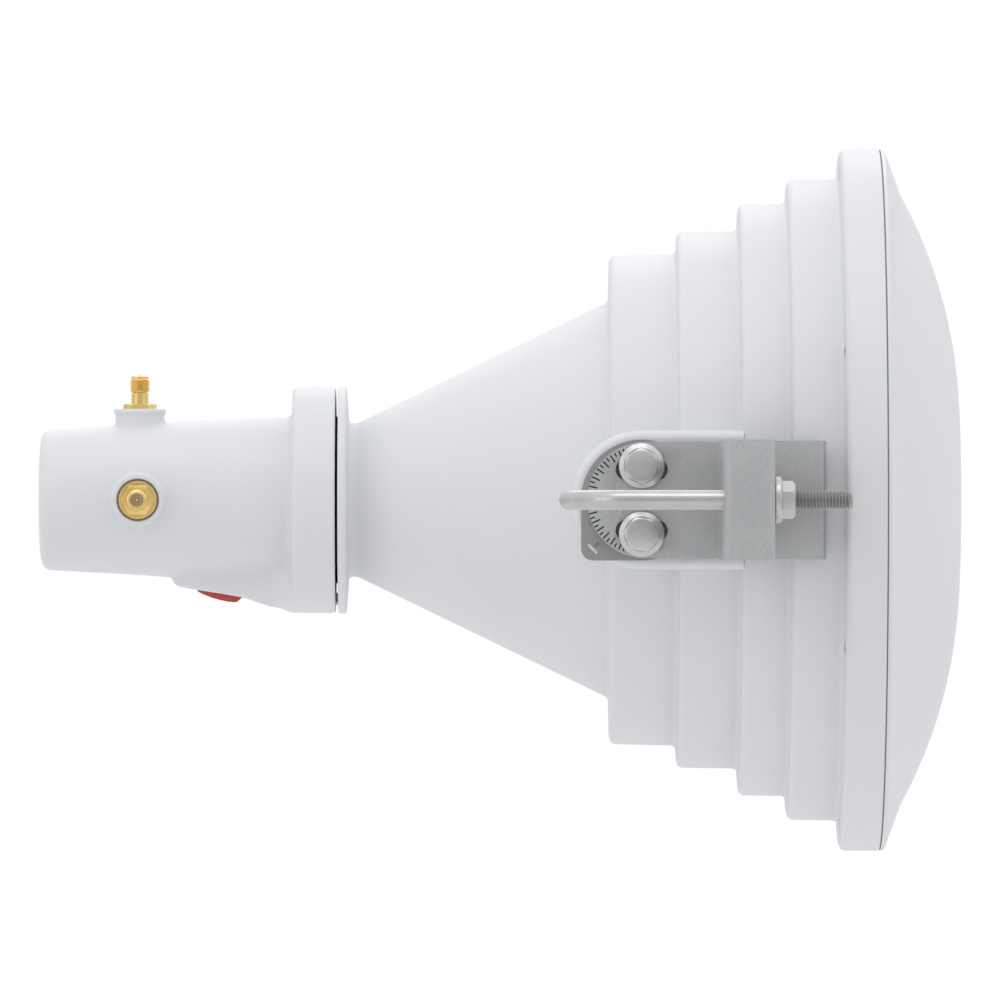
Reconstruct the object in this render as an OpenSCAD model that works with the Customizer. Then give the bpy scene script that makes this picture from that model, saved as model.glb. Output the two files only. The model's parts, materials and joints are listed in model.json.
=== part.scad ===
// Horn antenna with a side bracket for a vertical pole and a twist-on coaxial adaptor.
// Millimetres. The pole's axis is Z through the origin, the horn looks along +X,
// and its axis is parallel to X at y = axis_y, z = 0.

/* [Horn] */
// Distance from the pole's axis to the horn's axis
axis_y = 138.0; // [137:0.5:140]
// Radius of the round waveguide bore
bore_r = 18.5; // [17.5:0.1:19]
// Outside radius of the neck and of the port spigot
neck_r = 24.0; // [23.5:0.1:24.2]
// Wall thickness of the casting
wall = 2.6; // [2.2:0.1:2.8]
// Outside radius of the first ring step
ring1_r = 77.0; // [76:0.1:78]
// Outside radius of the second ring step
ring2_r = 84.2; // [83.5:0.1:85]
// Outside radius of the third ring step
ring3_r = 92.8; // [92:0.1:93.5]
// Outside radius of the fourth ring step
ring4_r = 100.4; // [100:0.1:100.8]
// Outside radius of the aperture flange
flange_r = 110.0; // [109.6:0.1:111]

/* [Radome] */
// Wall thickness of the radome
radome_t = 2.2; // [1.8:0.1:2.6]
// Radius of the flat middle of the radome
radome_flat_r = 24.0; // [20:1:28]
// Number of snap hooks round the radome's rim
hooks = 7; // [5:1:9]

/* [Bracket] */
// Thickness of the bracket's sheet
sheet_t = 2.0; // [1.6:0.1:2.0]
// Half the height of the folded strip
strip_h = 18.2; // [17.9:0.1:19]
// Radius from the pivot to the middle of each arc slot
slot_pitch_r = 10.5; // [10.3:0.1:10.8]
// Tilt to each side that the arc slots allow, in degrees
slot_travel = 27; // [26:1:28]
// Distance between the legs of the U-bolt
leg_spacing = 45.0; // [44.6:0.1:45.4]
// Diameter of the U-bolt's rod
rod_d = 6.0; // [5.8:0.1:6.2]
// How far the U-bolt's legs reach past the pole's axis
leg_end_x = 63.2; // [58:0.2:66]

/* [Adaptor] */
// Outside radius of the adaptor's collar
collar_r = 35.5; // [35.4:0.1:36.5]
// Position of both connectors along the horn's axis
sma_x = -156.5; // [-160:0.5:-154]
// Radius of the white boss round each connector
boss_rim_r = 8.2; // [7.9:0.1:8.6]

/* [Connectors] */
// Thread diameter of the connectors
sma_thread_d = 6.35; // [6.2:0.05:6.4]
// Width across the flats of the connectors' hexagon
sma_hex_af = 9.1; // [8:0.1:9.4]

/* [Latch] */
// Half the width of the red lever
lever_w = 5.9; // [5.5:0.1:6]
// Outside radius of the latch spring
spring_r = 2.4; // [2.2:0.1:2.5]

/* [Hidden] */

white = "whitesmoke";
zinc = "silver";

// Positions along the horn's axis
x_spigot = -102.3;      // end face of the port spigot
x_disc_l = -94.2;       // left face of the port disc
x_disc_r = -91.6;       // right face of the port disc
x_neck = -88.3;         // neck meets cone
x_ring1 = -9.5;         // left face of each ring step
x_ring2 = 11.7;
x_ring3 = 31.0;
x_ring4 = 46.2;
x_flange_l = 62.5;      // left face of the aperture flange
x_flange_r = 75.2;      // seam with the radome
slope = 0.4826;         // the cone's radius gained per unit length
groove = 13.2;          // depth of the ring grooves in the aperture

// Port lugs and adaptor
x_collar_l = -108.5;
x_collar_r = -95.0;
x_ring_l = -99.6;       // bayonet ring, 2 mm thick
x_ring_r = -97.6;
lug_deg = 38;           // width of each bayonet lug
lug_offset = 22.5;      // the twist that lines the lugs up
twist_max = 45;

// Bracket planes, as y values
y_boss = axis_y - 90.5;           // face of the casting's side boss
y_plate = axis_y - 93.0;          // front of the pointer plate
y_p = axis_y - 93.2;              // back of the bracket's pivot plate
y_m = axis_y - 103.5;             // back of the bracket's end plate
y_nf = -31.0;                     // back of the bracket's outer web
x_w1 = 24.4;                      // face that bears on the pole
x_w2 = 39.6;                      // face that the nuts bear on
pivot_cap_r = 17.9;

// Latch
pin_x = -140.0;
pin_z = -25.7;

// --- shared helpers -------------------------------------------------------

function unit(v) = v / norm(v);

// Points of one rounded corner b between a and c
function corner(a, b, c, r, n) =
    let (u = unit([a[0]-b[0], a[1]-b[1]]), v = unit([c[0]-b[0], c[1]-b[1]]),
         ang = acos(max(-1, min(1, u*v))))
    (r <= 0 || ang > 178) ? [[b[0], b[1]]] :
    let (m = unit(u+v), o = [b[0], b[1]] + m*r/sin(ang/2), t = r/tan(ang/2),
         p1 = [b[0], b[1]] + u*t, p2 = [b[0], b[1]] + v*t,
         a1 = atan2(p1[1]-o[1], p1[0]-o[0]), a2 = atan2(p2[1]-o[1], p2[0]-o[0]),
         d = ((a2-a1+540) % 360) - 180)
    [for (i = [0:n]) o + r*[cos(a1+d*i/n), sin(a1+d*i/n)]];

// A polygon's points with each corner rounded by its third number
function rounded(p, n = 5) =
    [for (i = [0:len(p)-1])
        each corner(p[(i+len(p)-1) % len(p)], p[i], p[(i+1) % len(p)], p[i][2], n)];

// Turns a section of [radius, x] points round the horn's axis
module turned(pts) {
    translate([0, axis_y, 0]) rotate([0, 90, 0]) rotate_extrude($fn = 128) polygon(pts);
}

// Places children, drawn at the bottom of the horn's axis, at the angle a
// turned from -Z towards +Y
module round_axis(a) { translate([0, axis_y, 0]) rotate([a, 0, 0]) children(); }

// A face drawn in x and z, given thickness from y0 towards +Y
module slab_y(y0, t) { translate([0, y0+t, 0]) rotate([90, 0, 0]) linear_extrude(t) children(); }

module on_top() { translate([sma_x, axis_y, 0]) children(); }
module on_front() { translate([sma_x, axis_y, 0]) rotate([90, 0, 0]) children(); }

// --- horn -----------------------------------------------------------------

function cone_r(x) = neck_r + 0.1 + slope*(x - x_neck);

module horn_outside() {
    turned(rounded([
        [0, x_spigot, 0], [neck_r, x_spigot, 0.4], [neck_r, x_disc_l, 0],
        [collar_r + 0.1, x_disc_l, 0.6], [collar_r + 0.1, x_disc_r, 1.0],
        [neck_r + 0.2, x_disc_r + 0.8, 1.0], [neck_r, x_neck, 3],
        [cone_r(x_ring1), x_ring1, 2.5],
        [ring1_r - 0.4, x_ring1 + 0.2, 2.2], [ring1_r + 0.1, x_ring2 - 0.2, 1.5],
        [ring2_r - 0.2, x_ring2 + 0.2, 2.0], [ring2_r + 0.1, x_ring3 - 0.1, 1.5],
        [ring3_r - 0.1, x_ring3 + 0.2, 2.0], [ring3_r + 0.1, x_ring4 - 0.1, 1.5],
        [ring4_r - 0.1, x_ring4 + 0.2, 2.0], [ring4_r + 0.2, x_flange_l - 0.3, 1.5],
        [flange_r, x_flange_l + 0.4, 2.0], [flange_r + 0.1, x_flange_r, 0.3],
        [0, x_flange_r, 0]]));
}

module horn_inside() {
    w = wall;
    k = wall / cos(atan(slope));
    lip_x = 6.4;
    turned(rounded([
        [0, x_spigot - 1, 0], [bore_r, x_spigot - 1, 0],
        [bore_r, x_neck - (neck_r + 0.1 - k - bore_r)/slope, 5],
        [cone_r(lip_x) - k, lip_x, 0.6], [cone_r(lip_x), lip_x, 0.6],
        [cone_r(x_ring1 + w), x_ring1 + w, 1.0], [ring1_r - w, x_ring1 + w, 1.0],
        [ring1_r - w + 0.2, x_ring2 + w + groove, 0.7],
        [ring1_r - 0.3, x_ring2 + w + groove, 0.7],
        [ring1_r - 0.1, x_ring2 + w, 0.8], [ring2_r - w, x_ring2 + w, 0.8],
        [ring2_r - w + 0.2, x_ring3 + w + groove, 0.7],
        [ring2_r - 0.3, x_ring3 + w + groove, 0.7],
        [ring2_r - 0.1, x_ring3 + w, 0.8], [ring3_r - w, x_ring3 + w, 0.8],
        [ring3_r - w + 0.2, x_ring4 + w + groove, 0.7],
        [ring3_r - 0.3, x_ring4 + w + groove, 0.7],
        [ring3_r - 0.1, x_ring4 + w, 0.8], [ring4_r - w, x_ring4 + w, 0.8],
        [ring4_r - w + 0.2, x_flange_r - 1.2, 0.7],
        [ring4_r - 0.3, x_flange_r - 1.2, 0.7],
        [ring4_r - 0.1, x_flange_l + w + 0.2, 0.8],
        [flange_r - 2.8, x_flange_l + w + 0.2, 0.8],
        [flange_r - 2.8, x_flange_r + 1, 0], [0, x_flange_r + 1, 0]], 4));
}

// Side boss for the bracket: a round-ended pad with a rounded rim
module side_boss() {
    r = 21.4;
    deep = 50;
    sec = rounded([[0, 0, 0], [r, 0, 2.7], [r, deep, 0], [0, deep, 0]]);
    translate([0, y_boss, 0]) rotate([-90, 0, 0]) rotate_extrude($fn = 96) polygon(sec);
    full = rounded([[-r, 0, 2.7], [r, 0, 2.7], [r, deep, 0], [-r, deep, 0]]);
    // drawn as [z, y], then run along x
    translate([0, y_boss, 0]) rotate([90, 0, 90]) linear_extrude(x_ring3 + 0.5)
        polygon([for (p = full) [p[1], p[0]]]);
}

module hook_angles() { for (i = [0:hooks-1]) round_axis(90 + i*360/hooks) children(); }

module horn_casting() {
    color(white) difference() {
        union() {
            horn_outside();
            side_boss();
            // bayonet lugs on the spigot
            for (a = [-60, 60, 180]) round_axis(a + lug_offset)
                mirror([0, 0, 1]) lug_block(neck_r - 1, 27.2, x_spigot, x_spigot + 2.5, lug_deg);
            // the two stops that the latch pawl runs between
            for (a = [-10.2, twist_max + 10.2]) round_axis(a)
                mirror([0, 0, 1]) lug_block(30.0, 33.0, x_disc_l - 2.6, x_disc_l + 0.5, 8);
        }
        horn_inside();
        // stepped slots for the radome's hooks
        hook_angles() {
            translate([x_flange_l - 2, -1.8, -106.7]) cube([4.0, 3.6, 5.0]);
            translate([x_flange_l - 2, -1.8, -106.7]) cube([6, 3.6, 2.4]);
        }
        // tapped holes for the tilt bolts
        for (s = [-1, 1]) translate([0, y_boss - 1, s*slot_pitch_r]) rotate([-90, 0, 0])
            cylinder(r = 3.05, h = 12.2, $fn = 48);
    }
}

// Annular block w degrees wide round the x axis, centred on +Z
module lug_block(r0, r1, x0, x1, w) {
    rotate([0, 90, 0]) translate([0, 0, x0]) rotate([0, 0, 180 - w/2])
        rotate_extrude(angle = w, $fn = 96) translate([r0, 0]) square([r1-r0, x1-x0]);
}

// --- radome ---------------------------------------------------------------

dome_r = 148.9;         // radius of the dome's curve
dome_c = x_flange_r + 25.2 - dome_r;
crease_r = 95.7;
function dome_x(r, R) = dome_c + sqrt(R*R - pow(r - radome_flat_r, 2));
function dome_arc(R, r1, n) = let (a1 = asin((r1 - radome_flat_r)/R))
    [for (i = [0:n]) [radome_flat_r + R*sin(a1*i/n), dome_c + R*cos(a1*i/n)]];

module radome() {
    t = radome_t;
    lip = x_flange_r + 0.4;
    rim = x_flange_r + 1.5;
    cone_slope = (dome_x(crease_r, dome_r) - rim)/(flange_r - crease_r);
    ri = crease_r - 0.9;
    xi = dome_x(ri, dome_r - t);
    inner_r = flange_r - 5.0;
    color(white) union() {
        turned(concat([[0, dome_c + dome_r]], dome_arc(dome_r, crease_r, 30),
            corner([crease_r, dome_x(crease_r, dome_r)], [flange_r, rim], [flange_r, lip], 0.5, 4),
            [[flange_r, lip + 0.15], [flange_r - 0.15, lip],
             [flange_r - 3.1, lip], [flange_r - 3.1, lip - 3.6], [inner_r, lip - 3.6],
             [inner_r, xi - cone_slope*(inner_r - ri)]],
            [for (i = [30:-1:0]) dome_arc(dome_r - t, ri, 30)[i]],
            [[0, dome_c + dome_r - t]]));
        hook_angles() {
            translate([x_flange_l + 0.3, -1.5, -106.5]) cube([lip - 3 - x_flange_l - 0.3, 3, 1.9]);
            translate([x_flange_l + 0.4, -1.5, -104.7]) cube([1.3, 3, 1.3]);
        }
    }
}

module radome_gasket() {
    color("black") turned([[flange_r - 2.7, x_flange_r], [flange_r - 0.3, x_flange_r],
        [flange_r - 0.3, x_flange_r + 0.4], [flange_r - 2.7, x_flange_r + 0.4]]);
}

module port_seal() {
    color("black") turned(rounded([[neck_r + 0.05, x_disc_l - 0.8, 0], [neck_r + 2.2, x_disc_l - 0.8, 0.3],
        [neck_r + 2.2, x_disc_l, 0], [neck_r + 0.05, x_disc_l, 0]]));
}

// --- bracket --------------------------------------------------------------

module pointer_outline() {
    circle(r = 18.6, $fn = 96);
    polygon(rounded([[-18.6, -18.6, 3.7], [0, -18.6, 0], [0, 0, 0], [-18.6, 0, 0]], 6));
}

module pointer_plate() {
    color("gray") difference() {
        slab_y(y_plate, 2.5) pointer_outline();
        for (s = [-1, 1]) translate([0, y_plate - 1, s*slot_pitch_r]) rotate([-90, 0, 0])
            cylinder(r = 3.3, h = 5, $fn = 48);
        // pointer mark, a T that points at the pivot: its bar is cut right through
        translate([0, y_plate, 0]) rotate([0, -45, 0]) {
            translate([-21.6, -0.5, -1.9]) cube([1.0, 4.0, 3.8]);
            translate([-20.7, -0.5, -0.45]) cube([2.1, 0.9, 0.9]);
        }
    }
}

// Arc slot centred above the pivot, a quarter turn of the same radius
module arc_slot() {
    hw = 3.25;
    wedge = slot_pitch_r*3;
    intersection() {
        difference() { circle(r = slot_pitch_r + hw, $fn = 96); circle(r = slot_pitch_r - hw, $fn = 96); }
        polygon([[0, 0], [-wedge*sin(slot_travel), wedge*cos(slot_travel)],
                 [wedge*sin(slot_travel), wedge*cos(slot_travel)]]);
    }
    // the ends are a little wider than the slot, so their curves cross its walls
    for (s = [-1, 1]) translate(slot_pitch_r*[s*sin(slot_travel), cos(slot_travel)]) circle(r = hw + 0.05, $fn = 48);
}

module strip_outline() {
    t = sheet_t;
    yf = y_p - t;
    ym = y_m - t;
    yo = y_nf - t;
    xe = 56.4;
    polygon(rounded([
        [23.4, yf, 0], [x_w1, yf, 0.8], [x_w1, yo, 2.3], [x_w2, yo, 2.3],
        [x_w2, ym, 1.0], [xe, ym, 1.9], [xe, y_m + 1.6, 0.4],
        [xe - t, y_m + 1.6, 0], [xe - t, y_m, 0], [x_w2 - t, y_m, 2.9],
        [x_w2 - t, y_nf, 0.4], [x_w1 + t, y_nf, 0.4], [x_w1 + t, y_p, 2.7],
        [23.4, y_p, 0]], 6));
}

module bracket_plate() {
    color(zinc) difference() {
        union() {
            slab_y(y_p - sheet_t, sheet_t) {
                translate([1.2, 0]) circle(r = pivot_cap_r, $fn = 96);
                translate([1.2, -pivot_cap_r]) square([22.3, 2*pivot_cap_r]);
            }
            translate([0, 0, -strip_h]) linear_extrude(2*strip_h) strip_outline();
        }
        slab_y(y_p - sheet_t - 1, sheet_t + 2) { arc_slot(); mirror([0, 1]) arc_slot(); }
        for (s = [-1, 1]) translate([20, s*leg_spacing/2, 0]) rotate([0, 90, 0])
            cylinder(r = rod_d/2 + 0.3, h = 24, $fn = 48);
    }
}

// Hexagon of width af and height h with its outer corners turned off
module hex_body(af, h, e_cut = 0.93) {
    e = af/cos(30);
    intersection() {
        cylinder(r = e/2, h = h, $fn = 6);
        cylinder(r = e/2 + 0.01, h = h - 0.9, $fn = 64);
    }
    intersection() {
        translate([0, 0, h - 0.9]) cylinder(r = e/2, h = 0.9, $fn = 6);
        translate([0, 0, h - 0.9]) cylinder(r1 = e/2 + 0.01, r2 = e/2*e_cut, h = 0.9, $fn = 64);
    }
}

// Flange bolt, head up, underside of its flange at z = 0
module flange_bolt(len) {
    rotate_extrude($fn = 64) polygon([[0, 0], [6.9, 0], [7.05, 0.3], [7.0, 1.0], [5.4, 1.9], [0, 1.9]]);
    translate([0, 0, 1.2]) hex_body(10, 4.7);
    translate([0, 0, -len + 0.6]) cylinder(r = 3.0, h = len, $fn = 48);
    translate([0, 0, -len]) cylinder(r1 = 2.4, r2 = 3.0, h = 0.6, $fn = 48);
}

module tilt_bolts() {
    color("lightgray") {
        translate([0, y_p - sheet_t - 0.1, slot_pitch_r]) rotate([90, 0, 0]) rotate([0, 0, 32]) flange_bolt(15.6);
        translate([0, y_p - sheet_t - 0.1, -slot_pitch_r]) rotate([90, 0, 0]) rotate([0, 0, -8]) flange_bolt(15.6);
    }
}

module flange_nut() {
    difference() {
        union() {
            rotate_extrude($fn = 64) polygon([[0, 0], [7.0, 0], [7.1, 0.3], [7.1, 1.5], [6.9, 1.9], [5.6, 2.3], [0, 2.3]]);
            translate([0, 0, 1.6]) hex_body(10, 4.6);
        }
        translate([0, 0, -1]) cylinder(r = rod_d/2 + 0.05, h = 10, $fn = 48);
    }
}

module clamp_nuts() {
    color("lightgray") for (s = [-1, 1])
        translate([x_w2 + 0.05, s*leg_spacing/2, 0]) rotate([3.4, 0, 0]) rotate([0, 90, 0]) flange_nut();
}

module u_bolt() {
    color("lightgray") {
        rotate([0, 0, 90]) rotate_extrude(angle = 180, $fn = 128)
            translate([leg_spacing/2, 0]) circle(r = rod_d/2, $fn = 48);
        for (s = [-1, 1]) translate([0, s*leg_spacing/2, 0]) rotate([0, 90, 0]) {
            cylinder(r = rod_d/2, h = leg_end_x - 0.7, $fn = 48);
            translate([0, 0, leg_end_x - 0.7]) cylinder(r1 = rod_d/2, r2 = rod_d/2 - 0.7, h = 0.7, $fn = 48);
        }
    }
}

// --- adaptor --------------------------------------------------------------

// Outside of the round body, without the collar
body_line = [[0, -188.0, 0], [12.1, -187.9, 0], [19.6, -187.35, 0], [20.9, -186.7, 0], [21.5, -186.0, 0],
    [21.9, -185.2, 0], [22.1, -184.0, 0], [22.15, -181.5, 0], [23.0, -166.5, 0], [23.6, -155.5, 0],
    [24.5, -143.9, 0], [25.4, -125.1, 0], [25.7, -110.0, 0]];

module body_solid() {
    turned(concat([for (p = body_line) [p[0], p[1]]], [[25.7, -106], [0, -106]]));
}

module fairing() {
    side = [[-146.3, -18], [-146.3, -25.2], [-145.9, -26.1], [-145.0, -26.8], [-143.8, -27.25],
        [-140.8, -27.8], [-138.6, -28.1], [-124.2, -30.5], [-120.4, -31.7], [-117.3, -32.8],
        [-115.1, -33.45], [-112.6, -33.75], [-111.6, -34.2], [-110.6, -35.0], [-108.6, -35.4],
        [-106.4, -35.4], [-106.4, -18]];
    plan = [[-146.0, 0], [-145.6, 2.6], [-144.6, 5.2], [-142.6, 7.8], [-139.2, 9.8], [-134.5, 10.9],
        [-128, 11.5], [-122, 11.9], [-117, 12.6], [-114.1, 13.5], [-111.8, 15.0], [-109.6, 16.8],
        [-108.3, 19.0], [-106.4, 19.0]];
    intersection() {
        translate([0, axis_y, 0]) slab_y(-20, 40) polygon(side);
        translate([0, axis_y, -36]) linear_extrude(24)
            polygon(concat(plan, [for (i = [len(plan)-1:-1:1]) [plan[i][0], -plan[i][1]]]));
        turned([[0, -150], [collar_r - 0.05, -150], [collar_r - 0.05, -106.4], [0, -106.4]]);
    }
}

// Room for the lever inside the fairing and through the collar
module lever_room() {
    difference() {
        union() {
            translate([0, axis_y, 0]) slab_y(-6.3, 12.6)
                polygon([[-141.8, -22], [-141.8, -27.1], [-138.9, -27.1], [-138.9, -36], [-124.0, -36],
                    [-124.0, -29.6], [-122.6, -29.9], [-122.6, -22]]);
            translate([0, axis_y, 0]) slab_y(-3.4, 6.8)
                polygon([[-123, -22], [-123, -29.8], [-120.4, -30.5], [-117.5, -31.3], [-112, -32.5],
                    [-108, -33.0], [-105.5, -33.0], [-105.5, -22]]);
        }
        body_solid();
    }
    translate([-141.8, axis_y - 6.3, -27.1]) cube([3.6, 12.6, 2.9]);
}

module sma_boss() {
    cylinder(r = boss_rim_r - 0.5, h = 27.2, $fn = 64);
    rotate_extrude($fn = 64) polygon(rounded([[0, 27.0, 0], [boss_rim_r, 27.0, 0.3], [boss_rim_r, 28.6, 0.4], [0, 28.6, 0]], 4));
}

module adaptor_housing() {
    color(white) difference() {
        union() {
            body_solid();
            turned(rounded([[0, x_collar_l, 0], [25.0, x_collar_l, 0], [collar_r - 0.1, x_collar_l, 1.7], [collar_r, x_collar_r, 0.4],
                [0, x_collar_r, 0]]));
            fairing();
            on_top() sma_boss();
            on_front() sma_boss();
        }
        turned([[0, -186.0], [20.35, -186.0], [23.9, -106.3], [33.15, -106.3], [33.15, -94], [0, -94]]);
        lever_room();
        translate([pin_x, axis_y + 7.6, pin_z]) rotate([90, 0, 0]) cylinder(r = 0.82, h = 15.2, $fn = 32);
        on_top() sma_room();
        on_front() sma_room();
    }
}

module sma_room() {
    translate([0, 0, 26.3]) cylinder(r = 6.6, h = 5, $fn = 64);
    translate([0, 0, 15]) cylinder(r = 3.3, h = 12, $fn = 48);
    translate([0, 0, 15]) cylinder(r = 5.7, h = 9.3, $fn = 48);
}

module waveguide_body() {
    color("silver") difference() {
        union() {
            turned([[0, -185.8], [20.1, -185.8], [21.4, -106.2], [33.0, -106.2], [33.0, x_ring_l],
                [28.0, x_ring_l], [28.0, -102.6], [0, -102.6]]);
            on_top() cylinder(r = 5.5, h = 24.2, $fn = 48);
            on_front() cylinder(r = 5.5, h = 24.2, $fn = 48);
        }
        turned([[0, -182.9], [bore_r, -182.9], [bore_r, -102], [0, -102]]);
        // room for the lever's arm
        translate([-107, axis_y - 3.4, -34]) cube([8, 6.8, 6.6]);
        on_top() translate([0, 0, 15]) cylinder(r = 3.1, h = 12, $fn = 48);
        on_front() translate([0, 0, 15]) cylinder(r = 3.1, h = 12, $fn = 48);
        for (a = screw_angles) round_axis(a) translate([-104, 0, -30.5]) rotate([0, 90, 0])
            cylinder(r = 1.28, h = 6, $fn = 32);
    }
}

screw_angles = [-150, -30, 30, 150];

module bayonet_ring() {
    color("lightgray") difference() {
        union() {
            turned([[28.0, x_ring_l], [33.0, x_ring_l], [33.0, x_ring_r], [28.0, x_ring_r]]);
            for (a = [-60, 60, 180]) round_axis(a)
                mirror([0, 0, 1]) lug_block(neck_r + 0.4, 29, x_ring_l, x_ring_r, lug_deg);
        }
        translate([x_ring_l - 1, axis_y - 3.4, -34]) cube([4, 6.8, 7]);
        for (a = screw_angles) round_axis(a) translate([0, 0, -30.5]) rotate([0, 90, 0]) {
            translate([0, 0, x_ring_l - 1]) cylinder(r = 1.3, h = 4, $fn = 32);
            translate([0, 0, x_ring_r - 1.05]) cylinder(r1 = 1.3, r2 = 2.36, h = 1.06, $fn = 32);
        }
    }
}

module ring_screws() {
    color("lightgray") for (a = screw_angles) round_axis(a) translate([0, 0, -30.5]) rotate([0, 90, 0])
        difference() {
            union() {
                translate([0, 0, x_ring_r - 6]) cylinder(r = 1.25, h = 5.2, $fn = 32);
                translate([0, 0, x_ring_r - 1.05]) cylinder(r1 = 1.25, r2 = 2.3, h = 1.05, $fn = 32);
            }
            for (b = [0, 90]) rotate([0, 0, b]) translate([-1.2, -0.25, x_ring_r - 0.6]) cube([2.4, 0.5, 1]);
        }
}

// --- connectors, drawn with the adaptor's axis at z = 0 --------------------

module sma_shell() {
    color("gold") difference() {
        union() {
            translate([0, 0, 18.7]) cylinder(r = 3.05, h = 9, $fn = 48);
            translate([0, 0, 27.2]) cylinder(r = 6.0, h = 1.2, $fn = 64);
            translate([0, 0, 28.3]) cylinder(r = sma_hex_af/2/cos(30), h = 1.8, $fn = 6);
            translate([0, 0, 30]) cylinder(r = 2.67, h = 8.8, $fn = 48);
            translate([0, 0, 33.9]) cylinder(r = sma_thread_d/2, h = 4.1, $fn = 48);
        }
        translate([0, 0, 18]) cylinder(r = 2.0, h = 22, $fn = 48);
    }
}

module sma_insulator() {
    color("lightgray") difference() {
        translate([0, 0, 18.0]) cylinder(r = 1.98, h = 18.6, $fn = 48);
        translate([0, 0, 17]) cylinder(r = 0.63, h = 21, $fn = 32);
    }
}

module sma_contact() {
    color("gold") rotate_extrude($fn = 32) polygon([[0, 7.4], [1.2, 7.4], [1.5, 7.7], [1.5, 17.4],
        [0.6, 17.8], [0.6, 38.7], [0.15, 39.2], [0, 39.2]]);
}

module sma_seal() {
    color("black") rotate_extrude($fn = 48)
        polygon(rounded([[3.15, 26.3, 0.2], [5.7, 26.3, 0.2], [5.7, 27.2, 0.2], [3.15, 27.2, 0.2]], 3));
}

module sma_shell_top() { on_top() sma_shell(); }
module sma_shell_front() { on_front() sma_shell(); }
module sma_insulator_top() { on_top() sma_insulator(); }
module sma_insulator_front() { on_front() sma_insulator(); }
module sma_contact_top() { on_top() sma_contact(); }
module sma_contact_front() { on_front() sma_contact(); }
module sma_seal_top() { on_top() sma_seal(); }
module sma_seal_front() { on_front() sma_seal(); }

// --- latch ----------------------------------------------------------------

module latch_lever() {
    color("crimson") difference() {
        union() {
            // eye and button
            translate([pin_x, axis_y + lever_w, pin_z]) rotate([90, 0, 0]) cylinder(r = 1.2, h = 2*lever_w, $fn = 48);
            translate([0, axis_y, 0]) slab_y(-lever_w, 2*lever_w)
                polygon([[-140.0, -26.85], [-139.0, -26.75], [-138.5, -27.4], [-138.3, -28.6], [-136.1, -29.8],
                    [-132.6, -31.1], [-128.9, -31.9], [-126.6, -32.1], [-125.8, -31.8], [-124.4, -30.6],
                    [-124.4, -29.3], [-123.3, -29.0], [-123.3, -27.1], [-129, -26.45], [-136, -25.55],
                    [-139.4, -24.7]]);
            // arm and pawl
            translate([0, axis_y, 0]) slab_y(-3, 6)
                polygon([[-124.5, -27.2], [-118, -28.4], [-111, -30.1], [-106.5, -30.6], [-95.2, -30.6],
                    [-95.0, -30.8], [-95.0, -32.5], [-107, -32.5], [-112, -32.0], [-118, -30.6],
                    [-124.5, -29.2]]);
        }
        translate([pin_x, axis_y + 8, pin_z]) rotate([90, 0, 0]) cylinder(r = 0.85, h = 16, $fn = 32);
        // seat of the spring
        translate([-129.5, axis_y, -28.6]) cylinder(r = spring_r + 0.3, h = 4, $fn = 32);
    }
}

module latch_pin() {
    color("silver") translate([pin_x, axis_y + 7.5, pin_z]) rotate([90, 0, 0]) cylinder(r = 0.8, h = 15, $fn = 32);
}

// Coil of wire radius wr on the mean radius mr, from height z0 to z1
function coil_point(t, mr, z0, z1, turns) = [mr*cos(360*turns*t), mr*sin(360*turns*t), z0 + (z1-z0)*t];
module coil(mr, wr, z0, z1, turns) {
    n = ceil(turns*18);
    m = 8;
    pts = [for (i = [0:n]) let (t = i/n, c = coil_point(t, mr, z0, z1, turns), a = 360*turns*t)
        for (j = [0:m-1]) let (b = 360*j/m) c + wr*[cos(b)*cos(a), cos(b)*sin(a), sin(b)]];
    faces = concat([[for (j = [0:m-1]) j]], [[for (j = [m-1:-1:0]) n*m + j]],
        [for (i = [0:n-1]) for (j = [0:m-1]) [i*m + j, (i+1)*m + j, (i+1)*m + (j+1)%m, i*m + (j+1)%m]]);
    polyhedron(pts, faces, convexity = 6);
}

module latch_spring() {
    wr = 0.2;
    color("silver") translate([-129.5, axis_y, 0]) coil(spring_r - wr, wr, -28.6 + wr + 0.02, -25.3 - wr, 3.5);
}

horn_casting();
radome();
radome_gasket();
port_seal();
pointer_plate();
tilt_bolts();
bracket_plate();
u_bolt();
clamp_nuts();
adaptor_housing();
waveguide_body();
bayonet_ring();
ring_screws();
sma_shell_top();
sma_shell_front();
sma_insulator_top();
sma_insulator_front();
sma_contact_top();
sma_contact_front();
sma_seal_top();
sma_seal_front();
latch_lever();
latch_pin();
latch_spring();
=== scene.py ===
import json
import math
import random

import bmesh
import bpy
import numpy as np
from mathutils import Matrix, Vector


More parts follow.
